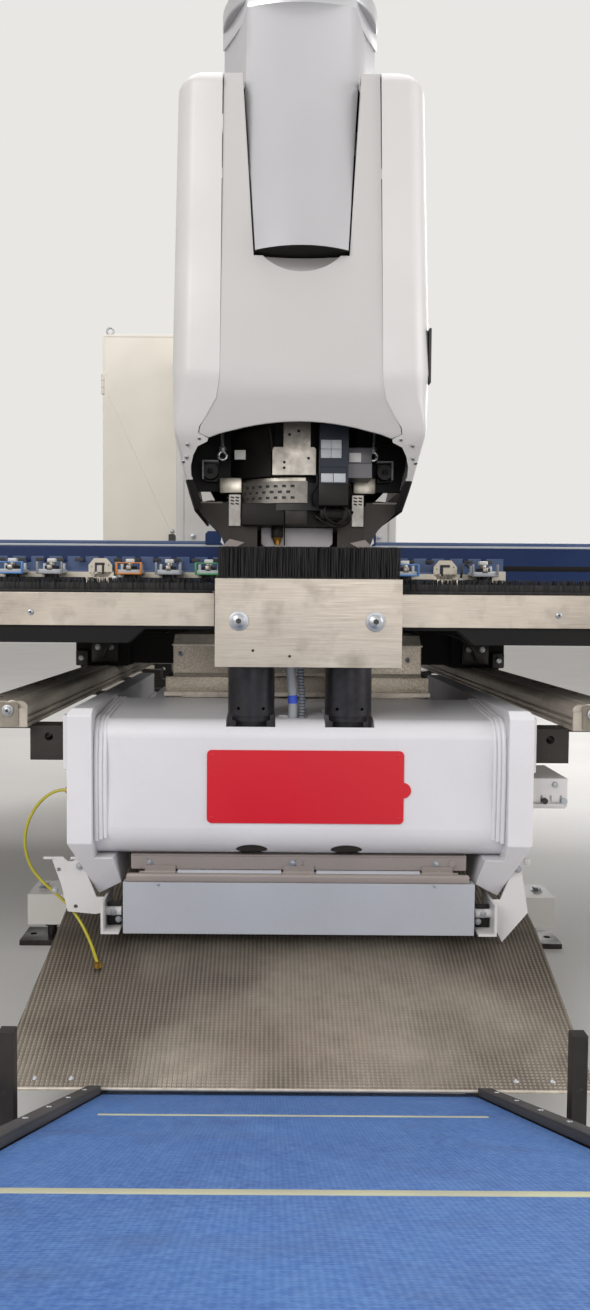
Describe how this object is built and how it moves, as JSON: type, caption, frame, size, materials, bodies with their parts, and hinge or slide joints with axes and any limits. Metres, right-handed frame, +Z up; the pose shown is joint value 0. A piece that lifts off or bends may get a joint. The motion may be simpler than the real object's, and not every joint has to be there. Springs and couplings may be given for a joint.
{
  "type": "CNC turret punch press",
  "caption": "CNC punch press with a white C-frame, one punching head, moving brush tables with a clamp rail, a lifting nose table, a parts chute and a blue discharge conveyor.",
  "frame": {"origin": "middle of the machine's footprint box on the floor", "axes": "+X to the operator's right along the tables, +Y from the nose table to the rear column, +Z up"},
  "size_m": [4.8, 4.585, 2.33],
  "materials": {
    "frame_paint": "satin",
    "arm_paint": "satin",
    "shell_paint": "satin",
    "fairing_paint": "satin",
    "hood_paint": "satin",
    "skirt_paint": "matte",
    "cabinet_paint": "satin",
    "flap_paint": "satin",
    "head_black": "satin",
    "table_dark": "matte",
    "module_blue": "satin",
    "beam_blue": "satin",
    "rail_blue": "satin",
    "motor_grey": "satin",
    "dark_steel": "matte",
    "rail_steel": "satin",
    "die_steel": "satin",
    "ring_steel": "satin",
    "clamp_steel": "satin",
    "stainless": "satin",
    "bright_rod": "polished",
    "nozzle_brass": "satin",
    "roller_black": "matte",
    "bristle_black": "matte",
    "conduit_grey": "satin",
    "hose_yellow": "gloss",
    "cassette_orange": "satin",
    "belt_blue": "matte"
  },
  "bodies": {
    "machine_frame": {"base_frame": "frame_paint", "levelling_feet": "dark_steel", "lower_arm": "arm_paint", "arm_cheek_left": "arm_paint", "arm_cheek_right": "arm_paint", "guide_rails": "rail_steel", "rail_brackets": "dark_steel", "rear_column": "frame_paint", "upper_arm": "frame_paint", "die_housing": "die_steel", "lift_columns": "dark_steel", "conduits": "conduit_grey", "fairing": "fairing_paint", "side_shell_left": "shell_paint", "side_shell_right": "shell_paint", "drive_hood": "hood_paint", "drive_housing": "hood_paint", "head_body": "head_black", "clamp_ring": "ring_steel", "ring_guard": "head_black", "centre_mount": "ring_steel", "head_modules": "module_blue", "guide_rollers": "roller_black", "lifting_eyes": "bright_rod", "spray_nozzle": "nozzle_brass", "head_skirt": "skirt_paint", "cabinet_shell": "cabinet_paint", "chute": "stainless", "flap_brackets": "shell_paint", "flap_beam": "flap_paint", "cable_bracket": "shell_paint", "air_hose": "hose_yellow", "hose_fittings": "nozzle_brass", "conveyor_frame": "dark_steel", "conveyor_belt": "belt_blue", "conveyor_motor": "motor_grey"},
    "nose_table": {"nose_plate": "stainless", "nose_brush": "bristle_black", "nose_block": "head_black", "nose_screws": "bright_rod"},
    "y_carriage": {"y_beam": "beam_blue", "beam_cover": "beam_blue", "side_table_left": "table_dark", "side_table_right": "table_dark", "table_brushes": "bristle_black", "table_edges": "stainless", "carriage_blocks": "head_black", "table_carriers": "table_dark"},
    "x_slide": {"x_rail": "rail_blue", "clamp_bodies": "clamp_steel", "tool_cassettes": "cassette_orange"},
    "jaw_left": {"clamp_jaw_left": "clamp_steel"},
    "jaw_right": {"clamp_jaw_right": "clamp_steel"},
    "ram_body": {"ram": "ring_steel"},
    "punch_tool": {"punch": "die_steel"},
    "die_holder": {"die": "die_steel"},
    "flap": {"chute_flap": "flap_paint"},
    "door": {"cabinet_door": "cabinet_paint"},
    "drive_roller_body": {"drive_roller": "bright_rod"},
    "tail_roller_body": {"tail_roller": "bright_rod"}
  },
  "joints": [
    {"name": "nose_lift", "type": "slide", "parent": "machine_frame", "child": "nose_table", "axis": [0, 0, 1], "range_m": [-0.054, 0]},
    {"name": "y_axis", "type": "slide", "parent": "machine_frame", "child": "y_carriage", "axis": [0, -1, 0], "range_m": [0, 0.85]},
    {"name": "x_axis", "type": "slide", "parent": "y_carriage", "child": "x_slide", "axis": [1, 0, 0], "range_m": [-0.15, 1.55]},
    {"name": "clamp_left_turn", "type": "hinge", "parent": "x_slide", "child": "jaw_left", "pos_m": [-0.672, 0.80219, 0.973], "axis": [-1, 0, 0], "range_deg": [0, 12]},
    {"name": "clamp_right_turn", "type": "hinge", "parent": "x_slide", "child": "jaw_right", "pos_m": [0.565, 0.80219, 0.973], "axis": [-1, 0, 0], "range_deg": [0, 12]},
    {"name": "ram_stroke", "type": "slide", "parent": "machine_frame", "child": "ram_body", "axis": [0, 0, -1], "range_m": [0, 0.08]},
    {"name": "punch_turn", "type": "hinge", "parent": "ram_body", "child": "punch_tool", "pos_m": [0, -0.34751, 1.033], "axis": [0, 0, 1], "continuous": true},
    {"name": "die_turn", "type": "hinge", "parent": "machine_frame", "child": "die_holder", "pos_m": [0, -0.34751, 0.903], "axis": [0, 0, 1], "continuous": true},
    {"name": "flap_hinge", "type": "hinge", "parent": "machine_frame", "child": "flap", "pos_m": [0, -0.79251, 0.378], "axis": [-1, 0, 0], "range_deg": [0, 75]},
    {"name": "cabinet_door_turn", "type": "hinge", "parent": "machine_frame", "child": "door", "pos_m": [-0.806, 1.69249, 1.09], "axis": [0, 0, -1], "range_deg": [0, 110]},
    {"name": "drive_roller_turn", "type": "hinge", "parent": "machine_frame", "child": "drive_roller_body", "pos_m": [-0.022, -2.24749, 0.52798], "axis": [1, 0, 0], "continuous": true},
    {"name": "tail_roller_turn", "type": "hinge", "parent": "machine_frame", "child": "tail_roller_body", "pos_m": [-0.022, -1.08451, 0.051], "axis": [1, 0, 0], "continuous": true}
  ],
  "couplings": [
    {"joint": "punch_turn", "follows": "die_turn", "ratio": 1},
    {"joint": "tail_roller_turn", "follows": "drive_roller_turn", "ratio": 1}
  ]
}
